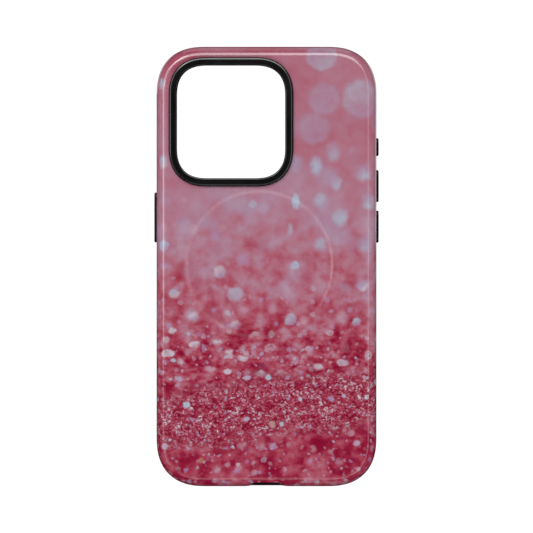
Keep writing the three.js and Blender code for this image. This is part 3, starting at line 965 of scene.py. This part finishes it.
def assemble():
    liner_black = moulded_black("liner_black", level=0.0016, roughness=0.1, shine=0.5, grain=0.35)
    key_black = moulded_black("key_black", level=0.001, roughness=0.1, shine=0.15, grain=0.3)
    for make, body, material, slot, node in (
        (make_shell, "case", print_material(), "shell_print", "outer_shell"),
        (make_liner, "case", liner_black, "liner_black", "inner_liner"),
    ):
        piece = make()
        smooth(piece)
        dress(piece, material)
        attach(piece, body)
        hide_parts(node)
    for name in KEYS:
        piece = make_key(name)
        smooth(piece)
        dress(piece, key_black)
        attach(piece, name)
        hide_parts(name)
    nickel = magnet_material()
    for name, node in sorted(frame["nodes"].items()):
        if name.startswith("ring_magnet"):
            node.material_slots[0].material = nickel
    frame["nodes"]["ring_carrier_film"].material_slots[0].material = film_material()


# ---------------------------------------------------------------- stage, lights and camera
# Places and sizes here are in metres
WHITE = (1.0, 1.0, 1.0, 1.0)
FLOOR_DROP = 0.04
FLOOR_RADIUS = 0.6
FLOOR_WHITE = 0.8
FLOOR_GLOW = 0.62

# The world's brightness: seen directly, as light on the object, and in its reflections
BACKGROUND = 1.05
AMBIENT = 0.24
DIM_REFLECTION = 0.03

# The camera: focal length and sensor width in millimetres, and the width of its view at the outline
LENS = 400
SENSOR = 36
VIEW_WIDTH = 0.1845
WIDEST_Y = BACK_Y + SHELL_ROUNDING

# Lights in front of the case, then those at its rear: (name, place, width, height, radiance)
LIGHTS_Y = -1.1
FRONT_LIGHTS = [
    ("left_box", (-0.7, LIGHTS_Y, 0.28), 0.46, 0.66, 5.5),
    ("lower_left_box", (-0.7, LIGHTS_Y, -0.28), 0.46, 0.44, 2.0),
    ("upper_left_box", (-0.42, LIGHTS_Y, 0.58), 0.4, 0.3, 10.0),
    ("top_box", (0.05, LIGHTS_Y, 0.62), 0.9, 0.6, 7.5),
    ("right_box", (0.37, LIGHTS_Y, -0.1), 0.2, 0.9, 2.4),
    ("low_box", (0.1, LIGHTS_Y, -0.6), 0.9, 0.2, 3.0),
]
REAR_LIGHTS = [
    ("overhead_box", (0.0, 0.1, 1.3), 1.0, 1.0, 1.2),
    ("rear_left_box", (-1.0, 1.1, 0.5), 0.8, 0.8, 1.6),
    ("rear_right_box", (1.0, 1.1, 0.4), 0.8, 0.8, 1.6),
]

# Fill lights that no reflection shows
FILL_LIGHTS = [
    ("low_fill", (0.05, -0.5, -0.42), 0.5, 0.15, 13.0),
    ("side_fill_left", (-1.2, -0.1, 0.2), 0.6, 0.8, 4.0),
    ("side_fill_right", (1.2, -0.1, 0.2), 0.6, 0.8, 4.0),
]

# A circle of small lights round the camera, where the low slope of the raised ring mirrors them
RING_FILLS = 12
RING_FILL_REACH = 0.25
RING_FILL_WIDTH = 0.12
RING_FILL_RADIANCE = 1.1


def make_floor():
    """A plain pale floor a little below the case, bright enough to stay nearly white."""
    points = circle(FLOOR_RADIUS, (0.0, 0.0))
    mesh = bpy.data.meshes.new("floor")
    height = -HALF_Z - FLOOR_DROP
    mesh.from_pydata([(x, y, height) for x, y in points], [], [tuple(range(len(points)))])
    floor = bpy.data.objects.new("floor", mesh)
    bpy.context.scene.collection.objects.link(floor)
    graph = Graph("pale_floor")
    graph.set(Base_Color=(FLOOR_WHITE, FLOOR_WHITE, FLOOR_WHITE, 1.0), Roughness=0.8)
    graph.set(Specular_IOR_Level=0.0, Emission_Color=WHITE, Emission_Strength=FLOOR_GLOW)
    dress(floor, graph.material)
    # It neither lights the case, nor shows in its gloss, nor holds back the low lights
    floor.visible_diffuse = False
    floor.visible_glossy = False
    floor.visible_shadow = False


def make_world():
    """White behind the object, a dimmer even light on it, and nearly black in its reflections."""
    world = bpy.data.worlds.new("studio")
    bpy.context.scene.world = world
    world.use_nodes = True
    tree = world.node_tree
    background = tree.nodes["Background"]
    background.inputs["Color"].default_value = WHITE
    path = tree.nodes.new("ShaderNodeLightPath")
    level = None
    for kind, strength in (("Is Glossy Ray", DIM_REFLECTION), ("Is Camera Ray", BACKGROUND)):
        choice = tree.nodes.new("ShaderNodeMapRange")
        choice.inputs["To Min"].default_value = AMBIENT
        choice.inputs["To Max"].default_value = strength
        tree.links.new(path.outputs[kind], choice.inputs["Value"])
        if level:
            tree.links.new(level, choice.inputs["To Min"])
        level = choice.outputs[0]
    tree.links.new(level, background.inputs["Strength"])


def softbox(name, place, width, height, radiance):
    """An area light of a given radiance, facing the middle of the case."""
    light = bpy.data.lights.new(name, "AREA")
    light.shape = "RECTANGLE"
    light.size = width
    light.size_y = height
    light.energy = radiance * math.pi * width * height
    lamp = bpy.data.objects.new(name, light)
    lamp.location = place
    lamp.rotation_euler = (-Vector(place)).to_track_quat("-Z", "Y").to_euler()
    bpy.context.scene.collection.objects.link(lamp)
    return lamp


def make_lights():
    for values in FRONT_LIGHTS:
        softbox(*values)
    for values in FILL_LIGHTS:
        softbox(*values).visible_glossy = False
    for i in range(RING_FILLS):
        turn = math.tau * i / RING_FILLS
        place = (RING_FILL_REACH * math.sin(turn), LIGHTS_Y, RING_FILL_REACH * math.cos(turn))
        softbox("ring_fill_%02d" % i, place, RING_FILL_WIDTH, RING_FILL_WIDTH, RING_FILL_RADIANCE)
    for values in REAR_LIGHTS:
        softbox(*values)


def make_camera():
    camera = bpy.data.cameras.new("camera")
    camera.lens = LENS
    camera.sensor_width = SENSOR
    holder = bpy.data.objects.new("camera", camera)
    holder.location = (0.0, WIDEST_Y - VIEW_WIDTH * LENS / SENSOR, 0.0)
    holder.rotation_euler = (math.pi / 2, 0.0, 0.0)
    bpy.context.scene.collection.objects.link(holder)
    bpy.context.scene.camera = holder


bpy.context.scene.view_settings.view_transform = "Standard"
assemble()
make_floor()
make_world()
make_lights()
make_camera()
